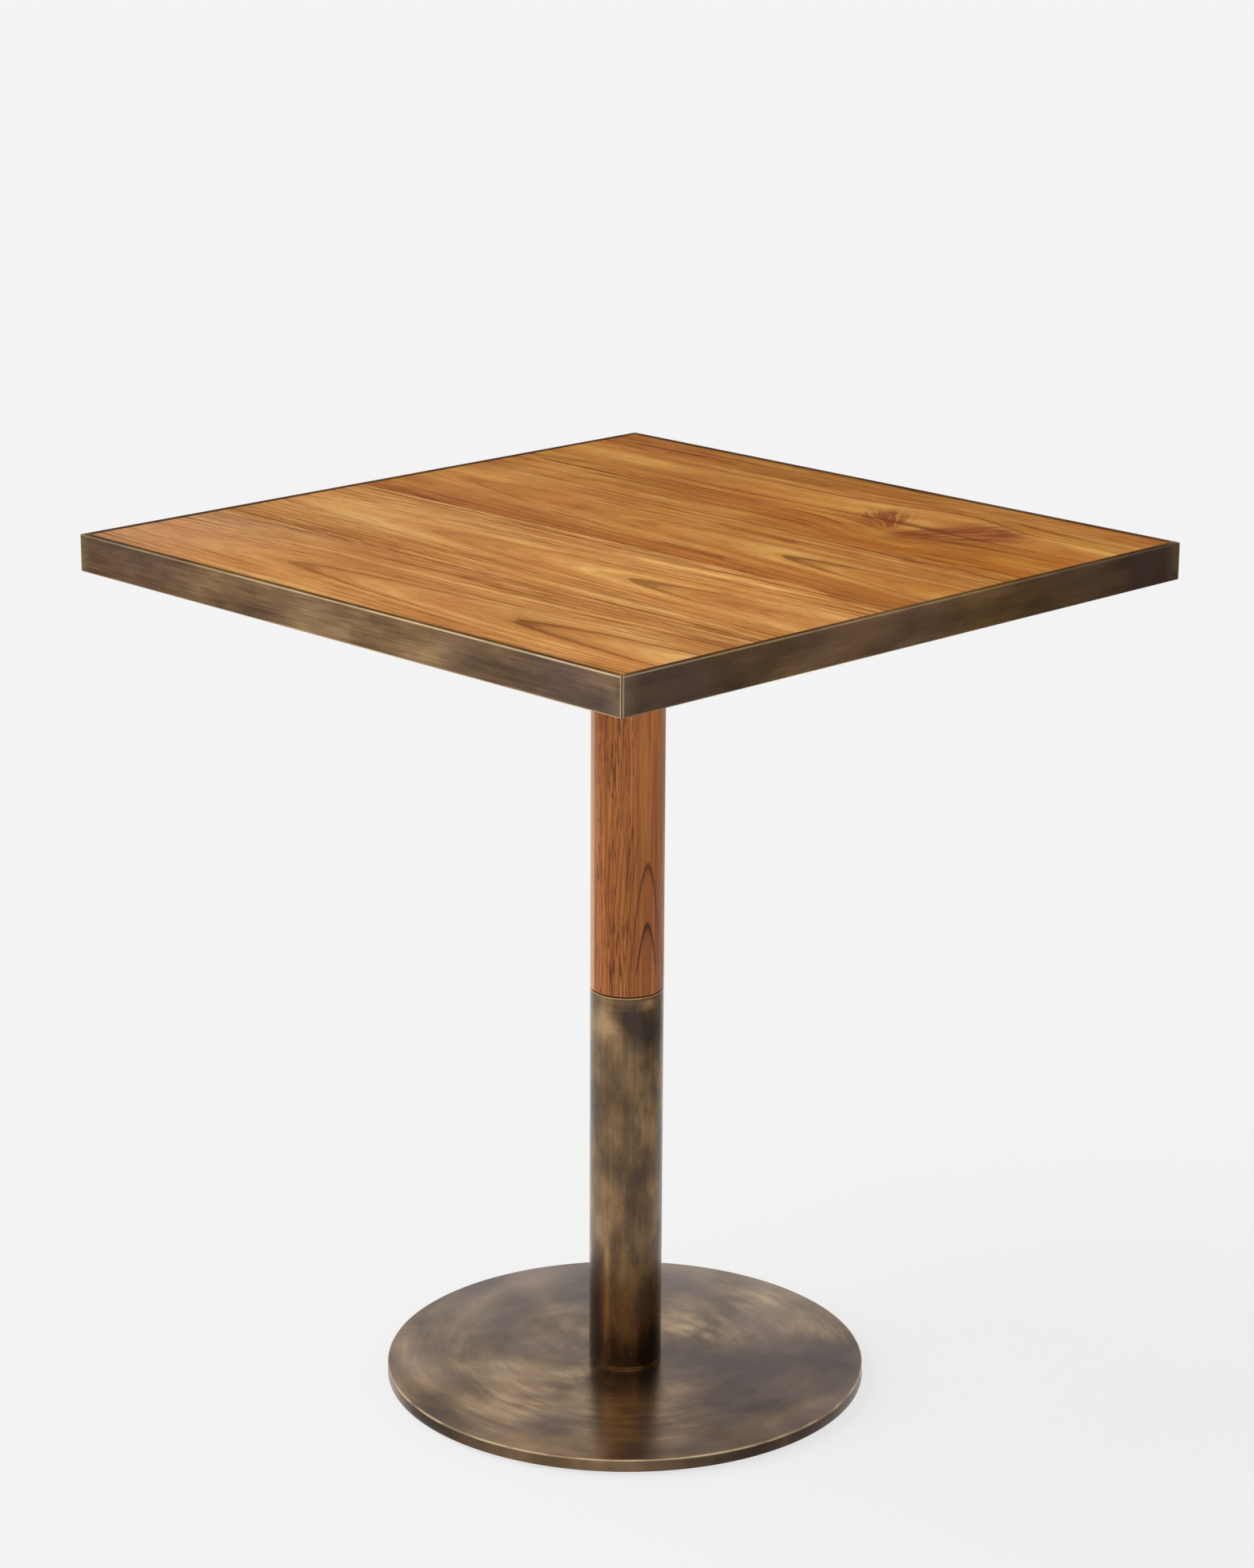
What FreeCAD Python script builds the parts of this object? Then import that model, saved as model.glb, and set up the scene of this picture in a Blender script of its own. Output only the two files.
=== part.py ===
"""Square pedestal dining table: teak top in a brass edge, column of teak over brass, brass-clad disc base.

Millimetres, +Z up. The origin is on the floor, on the column's axis. The boards' grain runs along X, and
the front edge of the top faces -Y. The core tube hangs from the mounting plate under the top, the two
column sleeves slide over it, and the base disc is bolted to the plug in its foot, which clamps them.
"""

import FreeCAD, Part
import math
import os

Vector = FreeCAD.Vector

# Overall sizes
table_height = 755.0
top_side = 650.0
base_diameter = 420.0
column_diameter = 63.5
joint_height = 360.0  # floor to the middle of the dark line between teak and brass

# Brass edge rails: an upright leg that frames the boards, and a flange that carries them
rail_height = 31.75
rail_leg = 6.0
rail_flange_width = 26.0
rail_flange_thickness = 4.0
rail_corner_radius = 2.0
rail_edge_radius = 1.2
mitre_groove_width = 0.5
mitre_groove_depth = 0.8

# Teak boards on a plywood panel
board_width_shares = (0.22, 0.25, 0.23, 0.30)  # from front to rear
board_reveal = 0.3  # how far the boards lie below the rails
board_gap = 0.3  # between the boards and the rails, all round
board_edge_ease = 0.5
backing_thickness = 9.0

# Steel plate under the top
plate_side = 240.0
plate_thickness = 5.0
plate_corner_radius = 24.0
plate_screw_inset = 22.0  # from the plate's edge
plate_screws_per_side = 3

# Countersunk wood screws
plate_screw_diameter = 5.0
plate_screw_head = 9.6
plate_screw_bite = 7.0  # into the boards, past the plywood
rail_screw_diameter = 3.5
rail_screw_head = 7.0
rail_screw_bite = 7.0  # into the plywood
rail_screw_end_inset = 60.0  # from the end of a rail
rail_screws_per_rail = 3
screw_clearance = 0.1

# Column
core_diameter = 48.3
core_wall = 2.6
brass_wall = 2.0
sleeve_fit = 0.2  # radial, between pieces that slide over each other
shadow_line = 1.0  # height of the dark line between teak and brass
shadow_depth = 1.4
collar_height = 24.0
wood_end_ease = 0.6
brass_end_ease = 0.4

# Foot of the column
plug_flange_height = 14.0
plug_spigot_height = 32.0
plug_ease = 1.0
bolt_diameter = 8.0
bolt_head = 15.5
bolt_bite = 9.0  # into the plug
bolt_circle = 34.0
bolt_count = 3

# Base disc
base_plate_thickness = 10.0
skin_thickness = 1.5
skin_edge_radius = 0.9
rim_wall = 2.0
rim_ease = 0.5
rim_foot_radius = 1.0

# Levelling glides
glide_circle = 330.0
glide_count = 4
pad_diameter = 30.0
pad_thickness = 3.0
pad_ease = 0.8
pad_notch_radius = 3.0
pad_notches = 8
stem_diameter = 8.0
stem_seat_depth = 1.8  # how far the stem goes into its pad
stem_headroom = 0.6  # above the stem, when the glide is screwed home
stem_ease = 0.8
stem_fit = 0.08

# Cuts run past the faces that they go through by this much
overrun = 1.0

# A rounding takes up no more than this share of the wall that it is on
rounding_share = 0.9

# Places closer than this share of a part's size count as the same
same_place_share = 1e-6

# Heights that follow from the sizes
base_bottom = pad_thickness
base_plate_top = base_bottom + base_plate_thickness
base_top = base_plate_top + skin_thickness
rail_bottom = table_height - rail_height
backing_bottom = rail_bottom + rail_flange_thickness
backing_top = backing_bottom + backing_thickness
board_top = table_height - board_reveal
plate_bottom = backing_bottom - plate_thickness
brass_top = joint_height - shadow_line / 2
wood_bottom = joint_height + shadow_line / 2
core_bottom = base_plate_top + plug_flange_height

# Widths and radii that follow from the sizes
panel_side = top_side - 2 * (rail_leg + board_gap)
column_radius = column_diameter / 2
core_radius = core_diameter / 2
core_bore = core_radius - core_wall
brass_bore = column_radius - brass_wall
base_radius = base_diameter / 2
base_plate_radius = base_radius - rim_wall
plate_screw_length = plate_thickness + backing_thickness + plate_screw_bite
rail_screw_length = rail_flange_thickness + rail_screw_bite
bolt_length = base_plate_thickness + bolt_bite

Z_AXIS = Vector(0, 0, 1)
ORIGIN = Vector(0, 0, 0)


def turned(profile):
    """A solid of revolution about Z, from a closed outline of (radius, height) points."""
    points = [Vector(radius, 0, height) for radius, height in profile]
    face = Part.Face(Part.makePolygon(points + points[:1]))
    return face.revolve(ORIGIN, Z_AXIS, 360)


def tube(outer, inner, low, high):
    """A plain tube on the Z axis."""
    return turned([(inner, low), (outer, low), (outer, high), (inner, high)])


def square_prism(side, low, high, corner_radius=0):
    """A square block on the Z axis, with its upright edges rounded if a radius is given."""
    block = Part.makeBox(side, side, high - low, Vector(-side / 2, -side / 2, low))
    if not corner_radius:
        return block
    uprights = [e for e in block.Edges if abs(e.tangentAt(e.FirstParameter).z) > 0.5]
    return block.makeFillet(corner_radius, uprights)


def edges_at(shape, height):
    """The edges of a shape that lie flat at one height."""
    tolerance = shape.BoundBox.DiagonalLength * same_place_share
    flat = []
    for edge in shape.Edges:
        box = edge.BoundBox
        if abs(box.ZMin - height) < tolerance and abs(box.ZMax - height) < tolerance:
            flat.append(edge)
    return flat


def turned_about_z(shape, degrees):
    """A copy of a shape, turned about the Z axis."""
    copy = shape.copy()
    copy.rotate(ORIGIN, Z_AXIS, degrees)
    return copy


def moved(shape, x, y, z):
    """A copy of a shape, moved."""
    copy = shape.copy()
    copy.translate(Vector(x, y, z))
    return copy


# Screws and bolts. Each points up, with its flat head at height zero.


def wood_screw(diameter, head, length):
    """A countersunk screw with a pointed end."""
    radius = diameter / 2
    head_radius = head / 2
    return turned([(0, 0), (head_radius, 0), (radius, head_radius - radius), (radius, length - radius),
                   (0, length)])


def column_bolt():
    """A countersunk bolt with a flat end."""
    radius = bolt_diameter / 2
    head_radius = bolt_head / 2
    return turned([(0, 0), (head_radius, 0), (radius, head_radius - radius), (radius, bolt_length),
                   (0, bolt_length)])


def countersunk_hole(diameter, head, length):
    """The hole that a screw or bolt fits with a little clearance, open below its head."""
    radius = diameter / 2 + screw_clearance
    head_radius = head / 2 + screw_clearance
    end = length + screw_clearance
    return turned([(0, -overrun), (head_radius, -overrun), (head_radius, 0), (radius, head_radius - radius),
                   (radius, end), (0, end)])


# Places of the screws, bolts and glides


def plate_screw_places():
    """Evenly spaced round the edge of the mounting plate, with the corners counted once."""
    reach = plate_side / 2 - plate_screw_inset
    steps = plate_screws_per_side - 1
    line = [-reach + 2 * reach * k / steps for k in range(plate_screws_per_side)]
    edge = reach * (1 - same_place_share)
    return [(x, y) for x in line for y in line if max(abs(x), abs(y)) > edge]


def rail_screw_places():
    """On the middle of each rail's flange."""
    across = top_side / 2 - (rail_leg + rail_flange_width) / 2
    reach = top_side / 2 - rail_screw_end_inset
    steps = rail_screws_per_rail - 1
    line = [-reach + 2 * reach * k / steps for k in range(rail_screws_per_rail)]
    front = [(x, -across) for x in line]
    right = [(across, y) for y in line]
    return front + right + [(-x, -y) for x, y in front + right]


def circle_places(diameter, count, first_degrees):
    """Evenly spaced on a circle about the Z axis."""
    angles = [math.radians(first_degrees + 360 * k / count) for k in range(count)]
    return [(diameter / 2 * math.cos(a), diameter / 2 * math.sin(a)) for a in angles]


def pattern(shape, places, z):
    """Copies of one shape at several places, as separate solids."""
    return Part.makeCompound([moved(shape, x, y, z) for x, y in places])


def top_screw_holes():
    """The holes of all the screws that go up into the top."""
    plate_hole = countersunk_hole(plate_screw_diameter, plate_screw_head, plate_screw_length)
    rail_hole = countersunk_hole(rail_screw_diameter, rail_screw_head, rail_screw_length)
    holes = pattern(plate_hole, plate_screw_places(), plate_bottom).Solids
    holes += pattern(rail_hole, rail_screw_places(), rail_bottom).Solids
    return holes


# The top


def rail_frame():
    """The four rails as one ring: rounded outside, stepped inside where the boards sit on the flange."""
    outside = square_prism(top_side, rail_bottom, table_height, rail_corner_radius)
    rims = edges_at(outside, table_height) + edges_at(outside, rail_bottom)
    outside = outside.makeFillet(rail_edge_radius, rims)
    seat = square_prism(top_side - 2 * rail_leg, backing_bottom, table_height + overrun)
    opening = square_prism(top_side - 2 * rail_flange_width, rail_bottom - overrun, table_height)
    return outside.cut([seat, opening])


def mitre_groove():
    """The fine groove where two rails meet, at the corner on the diagonal of +X and +Y."""
    corner = top_side / math.sqrt(2) - rail_corner_radius * (math.sqrt(2) - 1)
    inner = (top_side / 2 - rail_leg) * math.sqrt(2)
    half = mitre_groove_width / 2
    upright = Part.makeBox(mitre_groove_depth + overrun, mitre_groove_width, rail_height + 2 * overrun,
                           Vector(corner - mitre_groove_depth, -half, rail_bottom - overrun))
    lip = Part.makeBox(corner - inner + 2 * overrun, mitre_groove_width, mitre_groove_depth + overrun,
                       Vector(inner - overrun, -half, table_height - mitre_groove_depth))
    return turned_about_z(upright.fuse(lip), 45)


def edge_rails(holes):
    """The frame, cut at its mitres into four rails."""
    groove = mitre_groove()
    frame = rail_frame().cut([turned_about_z(groove, 90 * k) for k in range(4)] + holes)
    reach = top_side
    wedge_points = [ORIGIN, Vector(-reach, -reach, 0), Vector(reach, -reach, 0), ORIGIN]
    wedge = Part.Face(Part.makePolygon(wedge_points)).extrude(Vector(0, 0, table_height + overrun))
    sides = ("front", "right", "rear", "left")
    wedges = [turned_about_z(wedge, 90 * k) for k in range(len(sides))]
    return {f"edge_rail_{side}": frame.common(cut) for side, cut in zip(sides, wedges)}


def top_boards(holes):
    """The panel of boards, eased round its upper edge and then cut along the glue lines."""
    panel = square_prism(panel_side, backing_top, board_top)
    panel = panel.makeChamfer(board_edge_ease, edges_at(panel, board_top)).cut(holes)
    boards = {}
    front = -panel_side / 2
    for number, share in enumerate(board_width_shares, 1):
        width = panel_side * share / sum(board_width_shares)
        strip = Part.makeBox(panel_side, width, table_height, Vector(-panel_side / 2, front, 0))
        boards[f"top_board_{number}"] = panel.common(strip)
        front += width
    return boards


def backing_panel(holes):
    return square_prism(panel_side, backing_bottom, backing_top).cut(holes)


def mounting_plate(holes):
    return square_prism(plate_side, plate_bottom, backing_bottom, plate_corner_radius).cut(holes)


# The column


def column_core_tube():
    return tube(core_radius, core_bore, core_bottom, plate_bottom)


def column_wood_sleeve():
    """Turned teak, with its lower edge eased above the dark line."""
    bore = core_radius + sleeve_fit
    return turned([(bore, wood_bottom), (column_radius - wood_end_ease, wood_bottom),
                   (column_radius, wood_bottom + wood_end_ease), (column_radius, plate_bottom),
                   (bore, plate_bottom)])


def column_brass_sleeve():
    """The tube that stands on the base, with both ends eased."""
    eased = column_radius - brass_end_ease
    return turned([(brass_bore, base_top), (eased, base_top), (column_radius, base_top + brass_end_ease),
                   (column_radius, brass_top - brass_end_ease), (eased, brass_top),
                   (brass_bore, brass_top)])


def column_joint_collar():
    """Centres the brass tube on the core tube. Its flange stands back from both sleeves, as a dark line."""
    bore = core_radius + sleeve_fit
    body = brass_bore - sleeve_fit
    flange = column_radius - shadow_depth
    low = brass_top - collar_height
    return turned([(bore, low), (body, low), (body, brass_top), (flange, brass_top), (flange, wood_bottom),
                   (bore, wood_bottom)])


def column_foot_plug():
    """Stands on the base plate. Its flange centres the brass tube, and its spigot the core tube."""
    flange = brass_bore - sleeve_fit
    spigot = core_bore - sleeve_fit
    top = core_bottom + plug_spigot_height
    plug = turned([(0, base_plate_top), (flange, base_plate_top), (flange, core_bottom),
                   (spigot, core_bottom), (spigot, top - plug_ease), (spigot - plug_ease, top), (0, top)])
    return plug.cut(bolt_holes())


# The base


def bolt_places():
    return circle_places(bolt_circle, bolt_count, 90)


def bolt_holes():
    hole = countersunk_hole(bolt_diameter, bolt_head, bolt_length)
    return pattern(hole, bolt_places(), base_bottom).Solids


def base_plate():
    """The steel disc, bored for the bolts and tapped for the glides."""
    disc = turned([(0, base_bottom), (base_plate_radius, base_bottom), (base_plate_radius, base_plate_top),
                   (0, base_plate_top)])
    bore = Part.makeCylinder(stem_diameter / 2 + stem_fit, base_plate_thickness + 2 * overrun)
    stem_holes = pattern(bore, glide_places(), base_bottom - overrun).Solids
    return disc.cut(bolt_holes() + stem_holes)


def base_skin():
    """The brass sheet on top of the disc, with a rounded edge and a hole for the foot plug."""
    skin = tube(base_radius, brass_bore, base_plate_top, base_top)
    outer = [e for e in edges_at(skin, base_top) if e.BoundBox.XLength > base_radius]
    return skin.makeFillet(min(skin_edge_radius, skin_thickness * rounding_share), outer)


def base_rim():
    """The brass hoop round the disc. Its upper edge is eased, which leaves a fine line under the skin."""
    inner = base_plate_radius
    hoop = turned([(inner, base_bottom), (base_radius, base_bottom),
                   (base_radius, base_plate_top - rim_ease), (base_radius - rim_ease, base_plate_top),
                   (inner, base_plate_top)])
    foot = [e for e in edges_at(hoop, base_bottom) if e.BoundBox.XLength > inner + base_radius]
    return hoop.makeFillet(min(rim_foot_radius, rim_wall * rounding_share), foot)


# The levelling glides


def glide_places():
    return circle_places(glide_circle, glide_count, 180 / glide_count)


def glide_pad():
    """A nylon foot with a notched rim to turn it by, and a seat for the stem."""
    radius = pad_diameter / 2
    seat = stem_diameter / 2 + stem_fit
    floor = pad_thickness - stem_seat_depth
    pad = turned([(0, 0), (radius - pad_ease, 0), (radius, pad_ease), (radius, pad_thickness),
                  (seat, pad_thickness), (seat, floor), (0, floor)])
    notch_place = Vector(radius + pad_notch_radius / 2, 0, -overrun)
    notch = Part.makeCylinder(pad_notch_radius, pad_thickness + 2 * overrun, notch_place)
    return pad.cut([turned_about_z(notch, 360 * k / pad_notches) for k in range(pad_notches)])


def glide_stem():
    """The threaded stem at its outer diameter, from its seat in the pad up into the base plate."""
    radius = stem_diameter / 2
    low = pad_thickness - stem_seat_depth
    high = base_plate_top - stem_headroom
    return turned([(0, low), (radius, low), (radius, high - stem_ease), (radius - stem_ease, high),
                   (0, high)])


def build():
    """Every piece of the table by its name."""
    holes = top_screw_holes()
    pieces = {}
    pieces.update(top_boards(holes))
    pieces.update(edge_rails(holes))
    pieces["backing_panel"] = backing_panel(holes)
    pieces["mounting_plate"] = mounting_plate(holes)
    plate_screw = wood_screw(plate_screw_diameter, plate_screw_head, plate_screw_length)
    rail_screw = wood_screw(rail_screw_diameter, rail_screw_head, rail_screw_length)
    pieces["plate_screws"] = pattern(plate_screw, plate_screw_places(), plate_bottom)
    pieces["rail_screws"] = pattern(rail_screw, rail_screw_places(), rail_bottom)
    pieces["column_core_tube"] = column_core_tube()
    pieces["column_wood_sleeve"] = column_wood_sleeve()
    pieces["column_brass_sleeve"] = column_brass_sleeve()
    pieces["column_joint_collar"] = column_joint_collar()
    pieces["column_foot_plug"] = column_foot_plug()
    pieces["column_bolts"] = pattern(column_bolt(), bolt_places(), base_bottom)
    pieces["base_plate"] = base_plate()
    pieces["base_skin"] = base_skin()
    pieces["base_rim"] = base_rim()
    for number, (x, y) in enumerate(glide_places(), 1):
        pieces[f"glide_pad_{number}"] = moved(glide_pad(), x, y, 0)
        pieces[f"glide_stem_{number}"] = moved(glide_stem(), x, y, 0)
    return pieces


def main():
    os.makedirs("parts", exist_ok=True)
    for name, shape in build().items():
        shape.exportStep(f"parts/{name}.step")
        print(f"{name}: {len(shape.Solids)} solid(s), {shape.Volume:.0f} mm3, valid {shape.isValid()}")


main()
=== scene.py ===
# %% [markdown]
# A pedestal dining table
#
# The table is a square teak top in a mitred brass edge, on a round column of teak over brass, which
# stands on a brass-clad disc. Its working parts come ready as a frame, at their real size. This lesson
# dresses them: it models the pieces that show with finer edges, gives every surface a finish made of
# nodes, and sets up a studio.

# %% Load the frame
import math

import bmesh
import bpy
from mathutils import Matrix, Vector


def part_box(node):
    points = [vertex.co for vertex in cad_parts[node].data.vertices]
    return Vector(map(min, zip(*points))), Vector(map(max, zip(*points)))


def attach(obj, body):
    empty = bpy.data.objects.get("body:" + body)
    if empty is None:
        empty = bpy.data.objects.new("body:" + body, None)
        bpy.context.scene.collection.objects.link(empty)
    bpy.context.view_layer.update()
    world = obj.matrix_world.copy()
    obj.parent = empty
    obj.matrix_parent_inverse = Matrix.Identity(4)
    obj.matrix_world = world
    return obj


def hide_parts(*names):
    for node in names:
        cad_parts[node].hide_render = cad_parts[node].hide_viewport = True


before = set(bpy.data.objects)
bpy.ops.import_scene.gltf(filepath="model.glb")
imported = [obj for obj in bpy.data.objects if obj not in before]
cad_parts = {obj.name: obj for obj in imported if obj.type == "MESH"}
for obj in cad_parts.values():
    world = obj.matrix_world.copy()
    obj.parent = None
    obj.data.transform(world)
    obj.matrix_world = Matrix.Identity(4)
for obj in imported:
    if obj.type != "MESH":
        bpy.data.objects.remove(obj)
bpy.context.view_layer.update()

# %% [markdown]
# The frame already knows where everything is, so the sizes are read from it instead of being typed
# again. A box gives a piece's lowest and highest corner in metres, and most sizes are one number of one
# corner.

# %% Sizes read from the frame
MM = 0.001
TABLE = "table"

rail_low, rail_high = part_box("edge_rail_front")
half_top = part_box("edge_rail_right")[1].x
table_top = rail_high.z
rail_bottom = rail_low.z
flange_width = rail_high.y + half_top
panel_low, panel_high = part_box("backing_panel")
wood_low, wood_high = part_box("column_wood_sleeve")
tube_low, tube_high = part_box("column_brass_sleeve")
column_radius = tube_high.x
base_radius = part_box("base_rim")[1].x
base_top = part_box("base_skin")[1].z
print(f"top {2 * half_top:.3f} m square, {table_top:.3f} m high, base {2 * base_radius:.3f} m across")

# %% [markdown]
# A mesh is shaped in a bmesh, which is Blender's workbench for geometry. When the shape is done, the
# same few things happen to every piece: doubled points are merged, the faces are turned outwards, the
# curved faces are set to smooth shading, and the piece is hung on the body that carries it, while the
# plain solids that it stands for are hidden.

# %% Handing over a finished piece
merge_distance = 0.002 * MM
same_size = 0.01 * MM
crease_angle = math.radians(32)


def new_object(name, bm):
    """Turns a bmesh into an object of the scene, and frees the bmesh."""
    mesh = bpy.data.meshes.new(name)
    bm.to_mesh(mesh)
    bm.free()
    made = bpy.data.objects.new(name, mesh)
    bpy.context.scene.collection.objects.link(made)
    return made


def hand_over(name, bm, material, slot, *nodes, body=TABLE):
    """Makes an object from a bmesh, which rides on a body in place of the named solids."""
    bmesh.ops.remove_doubles(bm, verts=bm.verts, dist=merge_distance)
    bmesh.ops.recalc_face_normals(bm, faces=bm.faces)
    for face in bm.faces:
        face.smooth = True
    piece = new_object(name, bm)
    piece.data.set_sharp_from_angle(angle=crease_angle)
    piece.data.materials.append(material)
    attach(piece, body)
    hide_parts(*nodes)
    print(f"{name}: {len(piece.data.polygons)} faces")
    return piece


def round_edges(bm, edges, size, segments):
    bmesh.ops.bevel(bm, geom=edges, offset=size, offset_type="OFFSET", segments=segments, profile=0.5,
                    affect="EDGES", material=-1)


def ease(bm, chosen, size, segments=3):
    """Rounds the edges whose two ends both pass a test."""
    edges = [edge for edge in bm.edges if all(chosen(corner.co) for corner in edge.verts)]
    round_edges(bm, edges, size, segments)


def near(value, target):
    """True for two sizes that are the same, apart from rounding."""
    return abs(value - target) < same_size


def only(kind, items):
    """Those of a mixed list that are of one kind, such as corners or edges."""
    return [item for item in items if isinstance(item, kind)]


print(f"edges stay sharp past {math.degrees(crease_angle):.0f} degrees")

# %% [markdown]
# Wood and old brass are patterns, and a pattern in Blender is a net of nodes. Drawn by hand such a net
# is easy to read when small and hopeless when large, so here a Wire stands for one output of a node,
# and ordinary sums on wires add the Math nodes. A formula in the script then reads as the formula that
# it is.

# %% Wires


class Wire:
    """A value that varies over the surface."""

    def __init__(self, finish, socket):
        self.finish = finish
        self.socket = socket

    def __add__(self, other):
        return self.finish.math("ADD", self, other)

    def __sub__(self, other):
        return self.finish.math("SUBTRACT", self, other)

    def __rsub__(self, other):
        return self.finish.math("SUBTRACT", other, self)

    def __mul__(self, other):
        return self.finish.math("MULTIPLY", self, other)

    def __truediv__(self, other):
        return self.finish.math("DIVIDE", self, other)

    __radd__ = __add__
    __rmul__ = __mul__

    def root(self):
        return self.finish.math("SQRT", self)

    def size(self):
        return self.finish.math("ABSOLUTE", self)

    def floor(self):
        return self.finish.math("FLOOR", self)

    def fraction(self):
        return self.finish.math("FRACT", self)

    def most(self, other):
        return self.finish.math("MAXIMUM", self, other)

    def least(self, other):
        return self.finish.math("MINIMUM", self, other)

    def bell(self):
        """One at zero, falling off smoothly to both sides."""
        return self.finish.math("POWER", math.e, self * self * -1.0)

    def rise(self, low, high):
        """Nought up to low, one from high on, and a smooth slope between."""
        return self.finish.spread(self, low, high, 0.0, 1.0)

    def fall(self, low, high):
        """One up to low, nought from high on, and a smooth slope between."""
        return self.finish.spread(self, low, high, 1.0, 0.0)


def strongest(wires):
    """The greatest of several wires at each place."""
    first, *others = wires
    for wire in others:
        first = first.most(wire)
    return first


print("a wire can:", ", ".join(name for name in vars(Wire) if not name.startswith("_")))

# %% [markdown]
# A finish is one material. It could be drawn in the shader editor, but the same few groups of nodes come
# back in every finish of this table: noise in the object's own coordinates, a row of colours that the
# noise chooses from, and a bump for the relief. So a Finish has one short call for each of them, and
# ends by plugging colour, roughness and relief into the shader.

# %% Finishes
coat_roughness = 0.2
white = (1.0, 1.0, 1.0, 1.0)


def shade(red, green, blue):
    """A colour given as a screen shows it, from 0 to 255, as the linear colour that a shader takes."""
    parts = [part / 255 for part in (red, green, blue)]
    linear = [part / 12.92 if part <= 0.04045 else ((part + 0.055) / 1.055) ** 2.4 for part in parts]
    return (*linear, 1.0)


class Finish:
    """A material whose nodes are added one call at a time. Its x, y and z are places in metres."""

    def __init__(self, name, metallic, specular=0.5, edge_tint=white, coat=0.0):
        self.material = bpy.data.materials.new(name)
        self.material.use_nodes = True
        self.nodes = self.material.node_tree.nodes
        self.shader = self.nodes["Principled BSDF"]
        self.shader.inputs["Metallic"].default_value = metallic
        self.shader.inputs["Specular IOR Level"].default_value = specular
        self.shader.inputs["Specular Tint"].default_value = edge_tint
        self.shader.inputs["Coat Weight"].default_value = coat
        self.shader.inputs["Coat Roughness"].default_value = coat_roughness
        place = Wire(self, self.nodes.new("ShaderNodeTexCoord").outputs["Object"])
        split = self.node("ShaderNodeSeparateXYZ", Vector=place)
        self.x, self.y, self.z = (Wire(self, socket) for socket in split.outputs)

    def feed(self, socket, value):
        if isinstance(value, Wire):
            self.material.node_tree.links.new(value.socket, socket)
        else:
            socket.default_value = value

    def node(self, kind, settings=(), **inputs):
        """Adds a node with its settings, and feeds its inputs by name."""
        node = self.nodes.new(kind)
        for setting, value in dict(settings).items():
            setattr(node, setting, value)
        for name, value in inputs.items():
            self.feed(node.inputs[name.replace("_", " ")], value)
        return node

    def math(self, operation, *values):
        node = self.node("ShaderNodeMath", {"operation": operation})
        for socket, value in zip(node.inputs, values):
            self.feed(socket, value)
        return Wire(self, node.outputs[0])

    def spread(self, value, low, high, at_low, at_high):
        node = self.node("ShaderNodeMapRange", {"interpolation_type": "SMOOTHSTEP"}, Value=value,
                         From_Min=low, From_Max=high, To_Min=at_low, To_Max=at_high)
        return Wire(self, node.outputs[0])

    def point(self, x, y, z):
        return Wire(self, self.node("ShaderNodeCombineXYZ", X=x, Y=y, Z=z).outputs[0])

    def noise(self, x, y, z, detail=2.0, roughness=0.5):
        """Cloudy values about a half. The three wires are already multiplied by how fine the clouds are."""
        node = self.node("ShaderNodeTexNoise", Vector=self.point(x, y, z), Scale=1.0, Detail=detail,
                         Roughness=roughness)
        return Wire(self, node.outputs[0])

    def cloud(self, across, up, start=0.0, detail=2.0, roughness=0.5):
        """Noise with so many clouds to a metre across the piece, and so many up it."""
        return self.noise(self.x * across, self.y * across, self.z * up + start, detail, roughness)

    def chance(self, value):
        """An even random number for each whole value."""
        node = self.node("ShaderNodeTexWhiteNoise", {"noise_dimensions": "1D"}, W=value)
        return Wire(self, node.outputs["Value"])

    def specks(self, spacing):
        """The distance to the nearest of many scattered points, where one is their spacing."""
        place = self.point(self.x / spacing, self.y / spacing, self.z / spacing)
        return Wire(self, self.node("ShaderNodeTexVoronoi", Vector=place, Scale=1.0).outputs["Distance"])

    def ramp(self, value, *stops):
        """A row of colours, each at its own value."""
        node = self.node("ShaderNodeValToRGB", Fac=value)
        row = node.color_ramp.elements
        while len(row) < len(stops):
            row.new(0.5)
        for element, (position, colour) in zip(row, stops):
            element.position = position
            element.color = colour
        return Wire(self, node.outputs["Color"])

    def mix(self, share, colour, other):
        node = self.node("ShaderNodeMix", {"data_type": "RGBA"})
        sockets = (node.inputs[0], node.inputs[6], node.inputs[7])
        for socket, value in zip(sockets, (share, colour, other)):
            self.feed(socket, value)
        return Wire(self, node.outputs[2])

    def brighten(self, colour, amount, saturation=1.0):
        node = self.node("ShaderNodeHueSaturation", Value=amount, Saturation=saturation, Color=colour)
        return Wire(self, node.outputs["Color"])

    def done(self, colour, roughness, relief, depth):
        """Plugs the patterns into the shader: relief is a height from 0 to 1, depth what 1 is in metres."""
        bump = self.node("ShaderNodeBump", Height=relief, Distance=depth)
        self.feed(self.shader.inputs["Base Color"], colour)
        self.feed(self.shader.inputs["Roughness"], roughness)
        self.feed(self.shader.inputs["Normal"], Wire(self, bump.outputs[0]))
        return self.material


print("finishes are made of nodes, and read places in metres")

# %% [markdown]
# The teak top
#
# A board is a slice along a tree, and its figure is where the slice meets the growth rings. Above the
# tree's heart the slice touches the rings at a low angle, which draws wide arches, and to both sides it
# cuts them steeply, in close lines. So the finish works out how far each point of the board is from the
# heart, which lies some way under the board and sinks or rises along it, and paints a dark line at each
# whole number of rings. Finer threads follow the rings between those lines. A picture of wood could be
# laid on instead, but it would repeat, and it would stop at the surface.

# %% Rings, fibres and pores
ring_width = 5 * MM
teak_light = shade(214, 166, 98)
teak_middle = shade(190, 132, 70)
teak_deep = shade(162, 102, 48)
teak_red = shade(170, 102, 54)
teak_line = shade(96, 44, 16)


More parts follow.
